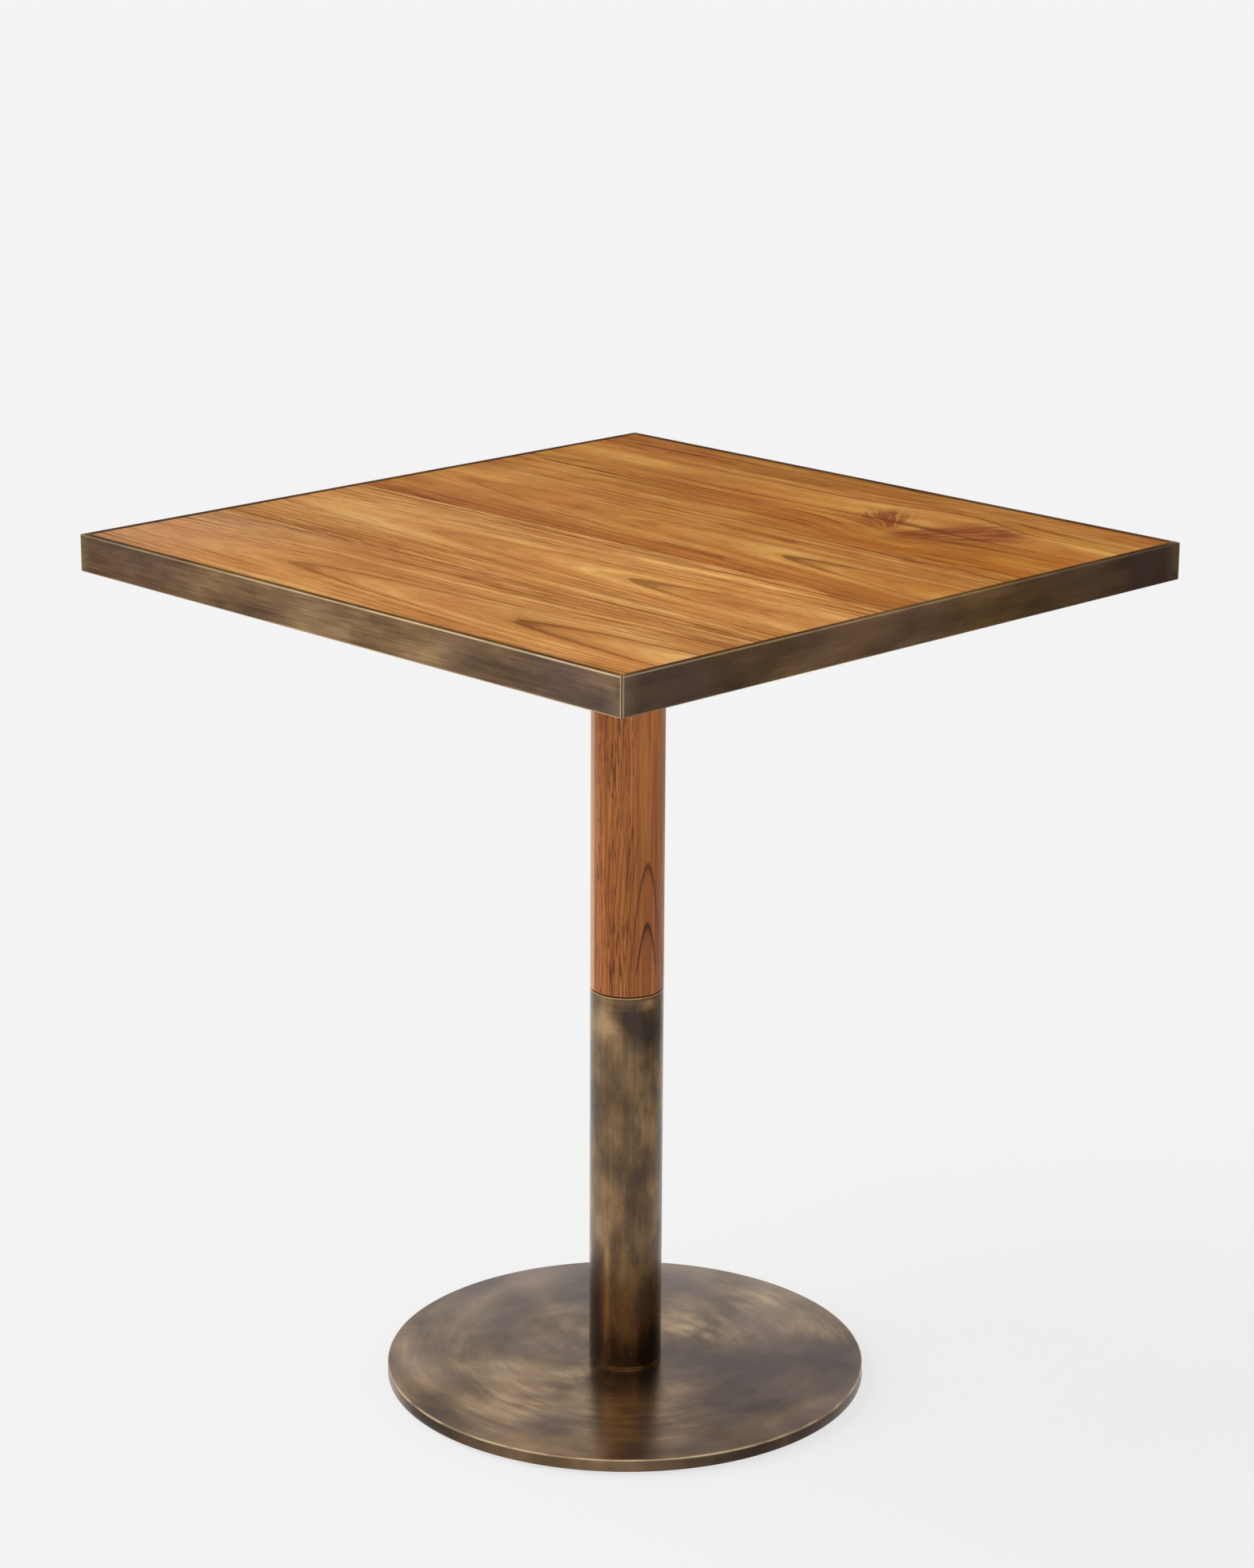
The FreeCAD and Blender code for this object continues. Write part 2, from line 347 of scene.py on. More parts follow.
def ring_lines(wood, rings, along, seed, soft_share):
    """Dark ring lines with a sharp outer side, each of its own strength and broken along its way."""
    step = rings.fraction()
    soft = step.rise(0.5, 0.97)
    crisp = step.rise(0.77, 0.92)
    line = (soft * soft * soft_share + crisp * (1.0 - soft_share)) * step.fall(0.97, 1.0)
    strength = wood.chance(rings.floor() + seed) * 0.4 + 0.6
    broken = wood.noise(along * 6, rings * 0.9, seed, detail=3).rise(0.36, 0.62)
    return line * strength * (broken * 0.7 + 0.3)


def threads(wood, rings, along, seed):
    """Fine dark lines that follow the rings, crowded in some places and missing in others."""
    crowd = wood.noise(along * 2, rings * 0.5, seed + 1, detail=2).rise(0.38, 0.6)
    lines = wood.noise(rings * 3.2, along * 7, seed + 2, detail=3, roughness=0.55).rise(0.54, 0.61)
    hairs = wood.noise(rings * 8, along * 16, seed + 6, detail=2).rise(0.56, 0.62)
    return (lines * (crowd * 0.75 + 0.25)).most(hairs * (crowd * 0.55 + 0.25))


def teak_colour(wood, streaks, lines, pores, red):
    body = wood.ramp(streaks, (0.37, teak_deep), (0.50, teak_middle), (0.62, teak_light))
    lined = wood.mix(lines, wood.mix(red, body, teak_red), teak_line)
    return wood.mix(pores, lined, teak_line)


print(f"rings {ring_width / MM:.0f} mm wide")

# %% [markdown]
# The rear board has a knot. A branch grew through it there, so the lines part in front of it and close
# again behind. Its dark wood spreads in two fans of short strokes, one to each side. A fan is easy to
# draw by direction: each point's bearing from the fan's root says whether it lies in the fan, and noise
# that is stretched along that bearing breaks the fan into strokes.

# %% The knot
knot_brown = shade(120, 58, 34)
parting_along = 62 * MM
parting_across = 70 * MM
wing_start_fade = 25 * MM
wing_end_fade = 45 * MM
wing_root_fade = 10 * MM
darkest_wing = 0.88
WINGS = (
    dict(root=(18 * MM, -49 * MM), lean=-0.70, breadth=0.17, start=34 * MM, end=130 * MM, solid=0.3),
    dict(root=(-17 * MM, -64 * MM), lean=0.67, breadth=0.24, start=22 * MM, end=164 * MM, solid=0.45),
)


def wing(wood, from_x, from_y, root, lean, breadth, start, end, solid):
    """A fan of dark strokes that spreads from its root, between two distances from it."""
    out_x = from_x - root[0]
    out_y = from_y - root[1]
    out = (out_x * out_x + out_y * out_y).root()
    aside = out_x / out
    reach = out.rise(start, start + wing_start_fade) * out.fall(end - wing_end_fade, end)
    strokes = wood.noise(aside * 18, out * 22, lean, detail=4, roughness=0.72).rise(0.42, 0.56)
    fan = ((aside - lean) / breadth).bell() * reach * out_y.rise(0.0, wing_root_fade)
    return fan * (strokes * (1.0 - solid) + solid)


def knot(wood, x, y):
    """How strongly the grain parts round the branch, and the dark wings beside it."""
    from_x = wood.x - x
    from_y = wood.y - y
    parting = (from_x / parting_along).bell() * (from_y / parting_across).bell()
    wings = strongest([wing(wood, from_x, from_y, **fan) for fan in WINGS])
    return parting, (wings * 1.25).least(darkest_wing)


print("a knot with", len(WINGS), "wings")

# %% [markdown]
# Each board came from its own place in a tree, so each has its own heart line, lean and tone. The finish
# of a board adds up what was made so far: the rings and threads, streaks of paler and deeper wood
# between them, fibres and pores, and a dark line along the joint with the next board.

# %% The finish of one board
heart_depth = 85 * MM
sway_size = 20 * MM
ripple_size = 2.6 * MM
depth_ripple = 0.8 * MM
steep_from = 18 * MM
steep_to = 60 * MM
joint_line = (0.3 * MM, 1.2 * MM)
joint_blush = (5 * MM, 50 * MM)
teak_relief = 0.05 * MM


def teak_board(number, heart, lean, slope, phase, tone, redness, fade=0.0, saturation=1.0,
               knot_place=None, dark_edge=0.2, arches=(1.0, 1.0), pale_end=0.0, drawn=1.0):
    """Grain along X. The heart line crosses x = 0 at y = heart, and rises by slope along the board."""
    wood = Finish(f"teak_board_{number}", metallic=0.0, specular=0.01)
    x, y = wood.x, wood.y
    seed = number * 7.31
    sway = wood.noise(x * 3, y * 9, seed, detail=1) - 0.5
    ripple = wood.noise(x * 16, y * 70, seed + 3, detail=3) - 0.5
    across = y - heart - x * lean
    if knot_place:
        parting, wings = knot(wood, *knot_place)
        across = across - (y - knot_place[1]) * parting * 0.7
    across = across + sway * sway_size + ripple * ripple_size
    depth = heart_depth - x * slope + ripple * depth_ripple
    rings = (across * across + depth * depth).root() / ring_width + phase
    steep = across.size().rise(steep_from, steep_to)
    left_arch, right_arch = arches
    arched = x.rise(-0.1, 0.1) * (right_arch - left_arch) + left_arch
    lines = ring_lines(wood, rings, x, seed, 0.22) * (steep * 0.7).most((1.0 - steep) * arched)
    lines = lines.most(threads(wood, rings, x, seed) * (steep * 0.6 + 0.25)) * drawn
    bands = wood.noise(rings * 0.8, x * 1.1, seed, detail=3)
    grain = wood.noise(rings * 4, x * 2, seed + 4, detail=4, roughness=0.62)
    clouds = wood.noise(x * 6, y * 26, seed + 17, detail=3)
    streaks = bands * 0.35 + grain * 0.3 + clouds * 0.35 - steep * 0.03 + 0.015
    fibre = wood.noise(x * 14, y * 520, seed + 5, detail=3, roughness=0.6)
    pores = wood.noise(x * 45, y * 1100, seed + 8, detail=1).rise(0.58, 0.70)
    patches = wood.noise(x * 4, y * 18, seed + 11, detail=2)
    red = wood.noise(x * 5, y * 20, seed + 14, detail=3).rise(0.40, 0.62) * redness
    from_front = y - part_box(f"top_board_{number}")[0].y
    lines = (lines + from_front.fall(*joint_line) * (0.8 * dark_edge)).least(1.0)
    red = red.most(from_front.fall(*joint_blush) * (0.8 * dark_edge))
    colour = teak_colour(wood, streaks * 0.88 + fibre * 0.12, lines, pores * 0.5, red)
    if knot_place:
        colour = wood.mix(wings, colour, knot_brown)
    level = patches * 0.4 + x * fade + (tone - 0.2)
    colour = wood.brighten(colour, level, x.fall(-0.32, -0.12) * -pale_end + saturation)
    rough = lines * 0.1 + fibre * 0.12 + 0.5
    return wood.done(colour, rough, fibre - pores * 0.6 - lines * 0.3, teak_relief)


print(f"the tree's heart lies {heart_depth / MM:.0f} mm under the boards")

# %% [markdown]
# A board is a plain block, so it starts as a cube that is scaled to its box. Only the edges along the
# brass are rounded, because the boards are glued to each other and sanded flush. The table below says
# where each board came from in its tree: the slope is one ring over so many millimetres of length.

# %% The four boards
board_ease = 0.5 * MM
BOARD_GRAIN = {
    1: dict(heart=-0.262, lean=0.0, slope=5 / 267, phase=0.48, tone=1.11, redness=0.3, fade=0.4,
            saturation=0.99, arches=(0.7, 0.8), pale_end=0.08, drawn=0.88),
    2: dict(heart=-0.102, lean=-0.01, slope=5 / 244, phase=0.41, tone=1.12, redness=0.05, fade=0.6,
            arches=(0.6, 0.7)),
    3: dict(heart=0.052, lean=-0.05, slope=5 / 253, phase=0.51, tone=0.99, redness=0.35, fade=0.4,
            saturation=1.03, dark_edge=1.0, arches=(0.35, 0.62), drawn=1.2),
    4: dict(heart=0.232, lean=0.0, slope=-5 / 2500, phase=0.25, tone=0.99, redness=0.6, fade=0.45,
            saturation=1.05, knot_place=(0.132, 0.209)),
}


def board(number, grain):
    node = f"top_board_{number}"
    low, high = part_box(node)
    bm = bmesh.new()
    bmesh.ops.create_cube(bm, size=1.0)
    bmesh.ops.scale(bm, vec=high - low, verts=bm.verts)
    bmesh.ops.translate(bm, vec=(low + high) / 2, verts=bm.verts)

    def at_edge(place):
        at_side = near(abs(place.x), panel_high.x) or near(abs(place.y), panel_high.y)
        return at_side and near(place.z, high.z)

    def along_rail(edge):
        first, second = (corner.co for corner in edge.verts)
        same_x = near(first.x, second.x)
        return at_edge(first) and at_edge(second) and (same_x or near(abs(first.y), panel_high.y))

    round_edges(bm, [edge for edge in bm.edges if along_rail(edge)], board_ease, segments=2)
    return hand_over(f"teak_board_{number}", bm, teak_board(number, **grain), "teak_top", node)


for number, grain in BOARD_GRAIN.items():
    board(number, grain)

# %% [markdown]
# Aged brass
#
# Brass that is left to age goes brown, then nearly black, in clouds, with a grey-purple bloom, and hands
# polish its edges back to gold. Brushing before it aged leaves fine lines, along a rail and in circles
# on a disc. All of the brass on the table shares one recipe: clouds choose the colour, brush lines break
# it up, and gold is laid on, both where the brass is rubbed and as painted highlights and glints. Each
# piece brings its own clouds, lines and gold, because they follow its shape.

# %% The brass recipe
brass_black = shade(61, 49, 39)
brass_brown = shade(105, 84, 62)
brass_tan = shade(146, 119, 90)
brass_pale = shade(182, 155, 120)
brass_bloom = shade(112, 95, 93)
# pale gold for rubbed brass and for painted highlights
brass_gold_and_highlight = shade(222, 198, 160)
brass_relief = 0.012 * MM


def aged_brass(brass, clouds, bloom, brush, wear_and_highlight, contrast=1.0, roughness=0.27, gold=brass_gold_and_highlight,
               warmth=1.0):
    """Clouds from dark to pale, a share of bloom, brush lines about a half, and gold for rubbed brass and
    painted highlight.
    """
    tone = (clouds - 0.5) * contrast + (brush - 0.5) * 0.28 + 0.5
    aged = brass.ramp(tone, (0.26, brass_black), (0.44, brass_brown), (0.60, brass_tan),
                      (0.78, brass_pale))
    bloomed = brass.mix(bloom, brass.brighten(aged, 1.0, warmth), brass_bloom)
    # the gold is rubbed brass and painted highlight alike
    colour = brass.mix(wear_and_highlight, bloomed, gold)
    rough = (0.62 - clouds) * 0.22 + brush * 0.1 - wear_and_highlight * 0.08 + (roughness - 0.02)
    return brass.done(colour, rough, brush, brass_relief)


print(f"brush lines {brass_relief / MM:.3f} mm deep")

# %% [markdown]
# The brass edge
#
# Four angle rails frame the boards: an upright leg outside them and a flange under them. They were
# brushed along their length, and they darken towards their ends. Hands have worn their long edges and
# the lips of the mitres to gold, which is also painted brighter there as a highlight, on the front and
# right rails most of all near the corner where the two meet. The flat top of the leg and the seam of
# each mitre get painted shade. The distance to the mitre is simply how far the place is across the
# table, less how far it is along the rail, so one difference places the seam, its lips and the glow
# beside them.

# %% The finish of a rail
rail_edge = 1.8 * MM
gold_from = 0.2 * MM
gold_width = 1.6 * MM
mitre_seam_shade = (0.45 * MM, 0.7 * MM)
mitre_lips = (1.6 * MM, 2.8 * MM)
mitre_glow = (2 * MM, 24 * MM)
rail_edge_tint = (0.46, 0.38, 0.32, 1.0)
# pale gold for the rubbed edges and for their painted highlight
rail_gold_and_highlight = shade(240, 214, 168)


def rail_brass(side, length_axis, tone, skew, streaked, dulled, mottled, top_shade, gold_end, gilded_and_lit):
    """Brushed along, dark at its ends, rubbed gold and painted highlight at edges and mitres, painted shade
    atop and in seams.
    """
    brass = Finish(f"rail_brass_{side}", metallic=1.0, edge_tint=rail_edge_tint)
    along, across = (brass.x, brass.y) if length_axis == "X" else (brass.y, brass.x)
    z = brass.z
    seed = len(side) * 3.7 + tone
    broad = brass.noise(along * 11, across * 3, z * 34 + seed, detail=4, roughness=0.55)
    fine = brass.noise(along * 18, across * 30, z * 760 + seed, detail=3, roughness=0.6)
    brush = brass.noise(along * 12, across * 1800, z * 1800 + seed, detail=2)
    ends = (along.size() / half_top).rise(0.2, 0.95)
    from_top = table_top - z
    from_side = half_top - across.size()
    # painted shade: the flat top of the upright leg is made darker
    flat_top_shade = from_top.fall(0.1 * MM, 0.4 * MM) * from_side.rise(1.4 * MM, 2.2 * MM)
    mottle = (broad - 0.5) * mottled + (fine - 0.5) * streaked
    clouds = mottle - ends * dulled - along * skew - flat_top_shade * top_shade + (tone + 0.56)
    outer = from_side.fall(gold_from, gold_width)
    lip = from_top.fall(gold_from, gold_width).most((z - rail_bottom).fall(gold_from, gold_width))
    to_mitre = across.size() - along.size()
    # painted shade in the groove of the mitre
    seam_shade = to_mitre.fall(*mitre_seam_shade)
    patchy = brass.noise(along * 30, across * 30, z * 30 + seed, detail=3).rise(0.36, 0.6)
    # painted highlight: the gold along the long edges is also their highlight, strongest on the front rail
    worn_and_lit = ((along * gold_end).rise(-0.36, 0.12) * 0.7 + 0.3) * gilded_and_lit
    glow = to_mitre.fall(*mitre_glow) * patchy * 0.1
    bare_and_lit = (outer * lip * worn_and_lit).most(to_mitre.fall(*mitre_lips) * 0.5).most(glow)
    wear_and_highlight = bare_and_lit * (patchy * 0.3 + 0.7) * (1.0 - seam_shade)
    hazy = brass.noise(along * 9, across * 4, z * 9 + seed + 9, detail=2).rise(0.4, 0.7)
    bloom = (hazy * 0.26 + ends * 0.28) * (1.0 - seam_shade)
    lines = (brush * 0.6 + fine * 0.4 - 0.5) * (streaked * 2.5) + 0.5
    return aged_brass(brass, clouds - seam_shade, bloom, lines, wear_and_highlight, gold=rail_gold_and_highlight, warmth=1.12)


print(f"rail edges rounded to {rail_edge / MM:.1f} mm")

# %% [markdown]
# The rails are mitred, so their ends meet on the diagonals of the top. A rail is the L of its section,
# pulled out to its length with extrude, and the mitres are cut with bisect_plane. Rounding the outer
# edges after that also rounds the two lips of each mitre, which leaves a fine groove at the corners;
# painted shade in the finish darkens it to a fine dark line.

# %% One rail
board_gap = 0.3 * MM
rail_leg = half_top - panel_high.x - board_gap
seat_height = panel_low.z


def cut_flat(bm, point, facing):
    """Takes away what lies past a plane, and closes the cut."""
    everything = bm.verts[:] + bm.edges[:] + bm.faces[:]
    cut = bmesh.ops.bisect_plane(bm, geom=everything, dist=merge_distance, plane_co=point,
                                 plane_no=facing, clear_outer=True)
    bmesh.ops.edgeloop_fill(bm, edges=only(bmesh.types.BMEdge, cut["geom_cut"]))


def front_rail():
    """The L of the section, standing at one end, then pulled along X, mitred and rounded."""
    outer = -half_top
    outline = [(outer, rail_bottom), (outer, table_top), (outer + rail_leg, table_top),
               (outer + rail_leg, seat_height), (outer + flange_width, seat_height),
               (outer + flange_width, rail_bottom)]
    bm = bmesh.new()
    section = bm.faces.new([bm.verts.new((-half_top, across, height)) for across, height in outline])
    pulled = bmesh.ops.extrude_face_region(bm, geom=[section])["geom"]
    bmesh.ops.translate(bm, vec=(2 * half_top, 0, 0), verts=only(bmesh.types.BMVert, pulled))
    for side in (-1, 1):
        cut_flat(bm, (0, 0, 0), (side, 1, 0))
    ease(bm, lambda place: near(place.y, -half_top), rail_edge, segments=4)
    return bm


print(f"rail leg {rail_leg / MM:.1f} mm thick, flange {flange_width / MM:.1f} mm wide")

# %% [markdown]
# The flange has countersunk holes for its screws. A hole is easiest as a cut with a second shape, which
# is what the Boolean modifier does, so the cones of the screw heads are gathered in one cutter and taken
# out of the rail.

# %% Holes for the rail screws
screw_inset = 60 * MM
rail_screw_head = 3.5 * MM
rail_screw_shank = 1.75 * MM
screw_room = 0.1 * MM
cutter_below = 1 * MM
cutter_above = 8 * MM
cutter_steps = 32
quarter = math.pi / 2
flange_middle = half_top - (rail_leg + flange_width) / 2
rail_screw_line = [-half_top + screw_inset, 0.0, half_top - screw_inset]


def rail_screw_places(turns):
    """The screws of one rail, so many quarter turns on from the front."""
    turn = Matrix.Rotation(turns * quarter, 2)
    return [turn @ Vector((x, -flange_middle)) for x in rail_screw_line]


def cone_cutter(places, base, wide, narrow):
    """Countersunk holes, open below: a cone from the head's width to the shank's, then the shank."""
    bm = bmesh.new()
    stages = ((-cutter_below, 0.0, wide, wide), (0.0, wide - narrow, wide, narrow),
              (wide - narrow, cutter_above, narrow, narrow))
    for x, y in places:
        for low, high, start, end in stages:
            cone = bmesh.ops.create_cone(bm, cap_ends=True, segments=cutter_steps, radius1=start,
                                         radius2=end, depth=high - low)
            bmesh.ops.translate(bm, vec=(x, y, base + (low + high) / 2), verts=cone["verts"])
    return bm


def take_out(piece, cutter_bm):
    """Cuts a bmesh out of a piece and leaves a plain mesh behind."""
    cutter = new_object("cutter", cutter_bm)
    modifier = piece.modifiers.new("holes", "BOOLEAN")
    modifier.object = cutter
    modifier.use_self = True
    depsgraph = bpy.context.evaluated_depsgraph_get()
    holed = bpy.data.meshes.new_from_object(piece.evaluated_get(depsgraph))
    piece.modifiers.clear()
    piece.data = holed
    bpy.data.objects.remove(cutter)


print(len(rail_screw_line), "holes in each rail")

# %% [markdown]
# All four rails are the front one, turned by quarters about the column. The turn is given to the mesh
# and not to the object, so that the finishes still read true places. The front and right rails have
# looks of their own, and the two at the back share one. The right rail's lower tone is painted shade,
# and the front rail's stronger gold is partly a painted highlight.

# %% The four rails
back_look = dict(tone=0.0, skew=0.0, streaked=0.3, dulled=0.14, mottled=0.8, top_shade=0.2, gold_end=0,
                 gilded_and_lit=0.6)
RAILS = {
    "front": dict(length_axis="X", tone=0.02, skew=-0.07, streaked=0.34, dulled=0.12, mottled=0.86,
                  top_shade=0.06, gold_end=1, gilded_and_lit=1.3),
    "right": dict(length_axis="Y", tone=-0.045, skew=0.13, streaked=0.14, dulled=0.25, mottled=0.62,
                  top_shade=0.04, gold_end=-1, gilded_and_lit=0.45),
    "rear": dict(length_axis="X", **back_look),
    "left": dict(length_axis="Y", **back_look),
}
for turns, (side, look) in enumerate(RAILS.items()):
    bm = front_rail()
    quarters = Matrix.Rotation(turns * quarter, 3, "Z")
    bmesh.ops.rotate(bm, cent=(0, 0, 0), matrix=quarters, verts=bm.verts)
    finish = rail_brass(side, **look)
    rail = hand_over(f"brass_rail_{side}", bm, finish, "rail_brass", f"edge_rail_{side}")
    cutter_bm = cone_cutter(rail_screw_places(turns), rail_bottom, rail_screw_head + screw_room,
                            rail_screw_shank + screw_room)
    take_out(rail, cutter_bm)
    print(f"  mitred and bored: {len(rail.data.polygons)} faces")

# %% [markdown]
# The column
#
# Two sleeves slide over a steel core: turned teak above, brass tube below, with a dark line between them
# where a collar stands back. A turned piece is its section swept round the axis, and spin does exactly
# that. The section goes up the outside, over the rim and down the bore, so the sleeve has its real wall.

# %% Turning a section
turning_steps = 192


def turned(outline, steps=turning_steps):
    """A closed outline of (radius, height) points, swept once round the Z axis."""
    bm = bmesh.new()
    corners = [bm.verts.new((radius, 0, height)) for radius, height in outline]
    edges = [bm.edges.new(pair) for pair in zip(corners, corners[1:] + corners[:1])]
    bmesh.ops.spin(bm, geom=corners + edges, cent=(0, 0, 0), axis=(0, 0, 1), angle=math.tau, steps=steps,
                   use_merge=True)
    bmesh.ops.remove_doubles(bm, verts=bm.verts, dist=merge_distance)
    return bm


def sleeve(outer, bore, low, high, ease_low, ease_high):
    """A tube with its two outer rims rounded."""
    bm = turned([(bore, low), (outer, low), (outer, high), (bore, high)])
    for height, size in ((low, ease_low), (high, ease_high)):
        if size:
            ease(bm, lambda place: near(place.z, height) and place.xy.length > (outer + bore) / 2, size)
    return bm


print(turning_steps, "steps round the column")

# %% [markdown]
# The column's teak is redder than the top's. Its figure is the same idea in the round: the heart of the
# tree lies outside the column, to the right of the front corner, and leans, so the rings draw two arches
# on that side and straight lines round the rest. Long open pores show as dark strokes, and a pale strip
# with a thin dark border runs up the left side: a painted reflection of the bright surroundings at the
# column's edge.

# %% The finish of the teak sleeve
column_ring = 4 * MM
column_light = shade(198, 130, 72)
column_middle = shade(168, 100, 50)
column_deep = shade(134, 72, 34)
column_line = shade(60, 20, 8)
# pale colour of the painted reflection at the column's left edge
column_edge_sheen = shade(210, 168, 130)
heart_bearing = math.radians(78.6)
heart_lean = 4 / 55
arch_height = 0.485
arch_foot = 0.381
arch_distance = 40 * MM
column_sway = 2.0 * MM
pore_depth = 0.06 * MM
facing_corner = math.radians(45)


def column_teak():
    wood = Finish("column_teak", metallic=0.0, specular=0.08, coat=0.2)
    x, y, z = wood.x, wood.y, wood.z
    sway = wood.cloud(18, 5) - 0.5
    reach = (z - arch_height) * heart_lean + (column_radius + arch_distance) + sway * column_sway
    from_x = reach * math.sin(heart_bearing) - x
    from_y = reach * -math.cos(heart_bearing) - y
    rings = (from_x * from_x + from_y * from_y).root() / column_ring
    upright = rings - (z - arch_height) * (heart_lean / column_ring)
    facing = (x * math.sin(heart_bearing) - y * math.cos(heart_bearing)) / column_radius
    flat = facing.rise(0.55, 0.9)
    smooth = facing.rise(0.88, 0.97)
    past_arches = (z - arch_height).rise(5 * MM, 30 * MM).most((z - arch_foot).fall(-8 * MM, 8 * MM))
    calm = flat * past_arches
    lines = ring_lines(wood, rings, z, 2.0, 0.5) * (1.0 - calm * 0.9) * (flat * 0.4 + 0.55)
    streaks = wood.noise(upright * 2.3, z * 1.6, 4.0, detail=5, roughness=0.65)
    fibre = wood.cloud(420, 9, detail=3, roughness=0.6)
    zones = wood.cloud(34, 4)
    ragged = (wood.cloud(160, 90) - 0.5) * 0.6
    long = wood.noise(x * 860 + ragged, y * 860 + ragged, z * 14).rise(0.575, 0.62)
    short = wood.noise(x * 980 + ragged, y * 980 + ragged, z * 46).rise(0.57, 0.61)
    crowd = wood.cloud(60, 6, 3.0).rise(0.36, 0.6)
    pores = (long * 0.85).most(short) * (crowd * 0.7 + 0.3) * (1.0 - smooth * 0.85)
    mixed = streaks * 0.5 + fibre * 0.2 + zones * 0.3
    body = wood.ramp(mixed, (0.39, column_deep), (0.5, column_middle), (0.61, column_light))
    lined = wood.mix(lines.least(0.92), body, column_line)
    # painted reflection: a pale strip up the left edge of the column, with a thin dark border
    aside = (x * math.cos(facing_corner) + y * math.sin(facing_corner)) / column_radius + sway * 0.06
    edge_sheen = aside.fall(-0.9, -0.85)
    sheen_border = (edge_sheen * (1.0 - edge_sheen) * 4).least(1.0)
    sheened = wood.mix(edge_sheen * 0.55, wood.mix(pores * 0.72, lined, column_line), column_edge_sheen)
    colour = wood.mix(sheen_border * 0.45, sheened, column_line)
    return wood.done(colour, fibre * 0.14 + 0.36, fibre * 0.5 - pores, pore_depth)


core_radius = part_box("column_core_tube")[1].x
plug_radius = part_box("column_foot_plug")[1].x
sleeve_fit = 0.2 * MM
wood_ease = 0.6 * MM
teak_sleeve = sleeve(column_radius, core_radius + sleeve_fit, wood_low.z, wood_high.z, wood_ease, 0)
hand_over("teak_sleeve", teak_sleeve, column_teak(), "teak_column", "column_wood_sleeve")

# %% [markdown]
# The brass tube was rubbed round its girth near the top, so its lines run level there, and its clouds
# hang down it. It darkens towards the foot, where polish never reaches, and both rims and a few spots
# are worn to gold. Noise alone would put its spots anywhere, so the ones that the eye looks for are
# listed: a bell about a place, in metres across the front and up from the floor.

# %% The finish of the brass sleeve
tube_length = tube_high.z - tube_low.z
# gold for the tube's rubbed rims and spots and for its painted glint
tube_gold_and_glint = shade(204, 166, 104)
tube_pit_spacing = 8 * MM
spot_ragged = 26 * MM
glint_height = 0.088
DARK_SPOTS = ((2 * MM, 0.338, 13 * MM, 0.17), (22 * MM, 0.322, 14 * MM, 0.12))
RUBBED_SPOTS = ((-17 * MM, 0.335, 14 * MM), (19 * MM, 0.353, 6 * MM))


def spot(place, reach):
    """One at a place and nought well away from it. The place pairs wires with values."""
    first, *others = [((wire - value) / reach).bell() for wire, value in place]
    for share in others:
        first = first * share
    return first


def column_brass():
    brass = Finish("column_brass", metallic=1.0, coat=0.4)
    x, y, z = brass.x, brass.y, brass.z
    up = (z - tube_low.z) / tube_length
    across = x * math.cos(facing_corner) + y * math.sin(facing_corner)
    towards = x * math.sin(facing_corner) - y * math.cos(facing_corner)
    before = towards.rise(0.0, column_radius / 2)
    broad = brass.cloud(26, 17, 4.0, detail=4, roughness=0.55)
    blots = brass.cloud(62, 24, 1.0, detail=5, roughness=0.62)
    hung = brass.cloud(120, 7, detail=4, roughness=0.6)
    level = brass.cloud(9, 620)
    astray = across + (blots - 0.5) * spot_ragged
    dark = sum(spot(((astray, aside), (z, height)), reach) * depth
               for aside, height, reach, depth in DARK_SPOTS)
    rub = strongest([spot(((across, aside), (z, height)), reach)
                     for aside, height, reach in RUBBED_SPOTS])
    lifted = spot(((across, 20 * MM), (z, 0.065)), 26 * MM)
    shaded = spot(((across, -26 * MM),), 7 * MM) * up.fall(0.15, 0.4)
    foot = up.fall(0.02, 0.18)
    pits = brass.specks(tube_pit_spacing).fall(0.07, 0.12) * up.fall(0.12, 0.4)
    clouds = broad * 0.56 + blots * 0.29 + hung * 0.15 - foot * 0.06 - pits * 0.2
    clouds = clouds + (rub * 0.22 + lifted * 0.1 - dark) * before
    # painted light and shade: the front is lighter to the left and darker to the right, with painted shade
    # low on the left edge
    clouds = clouds - across * 1.5 - shaded * 0.19 - 0.006
    ragged = brass.cloud(60, 60, detail=3).rise(0.4, 0.62)
    rims = (z - tube_low.z).fall(1.0 * MM, 3.0 * MM) * ragged * 0.7
    rims = rims.most((tube_high.z - z).fall(0.3 * MM, 1.6 * MM) * 0.8)
    spots = brass.cloud(45, 20, 7.0, detail=4, roughness=0.65).rise(0.6, 0.76)
    # painted glint: a narrow gold streak low on the left of the front
    painted_glint = spot(((across, -16 * MM),), 2.2 * MM) * (z - glint_height).size().fall(20 * MM, 62 * MM)
    painted_glint = painted_glint * before * (hung.rise(0.35, 0.6) * 0.45 + 0.35)
    wear_and_highlight = rims.most(spots * up.fall(0.15, 0.7) * 0.4).most(painted_glint)
    bloom = brass.cloud(36, 26, 9.0).rise(0.42, 0.68) * 0.07 + shaded * 0.3
    # painted reflection: a grey-purple bloom over the left side of the tube
    bloom = bloom + across.fall(-24 * MM, -6 * MM) * 0.14
    rubbed = up.rise(0.85, 0.95) * 0.6 + 0.1
    brush = (level - 0.5) * rubbed + hung * 0.18 + 0.41
    return aged_brass(brass, clouds, bloom, brush, wear_and_highlight, contrast=1.5, roughness=0.25, gold=tube_gold_and_glint,
                      warmth=1.14)


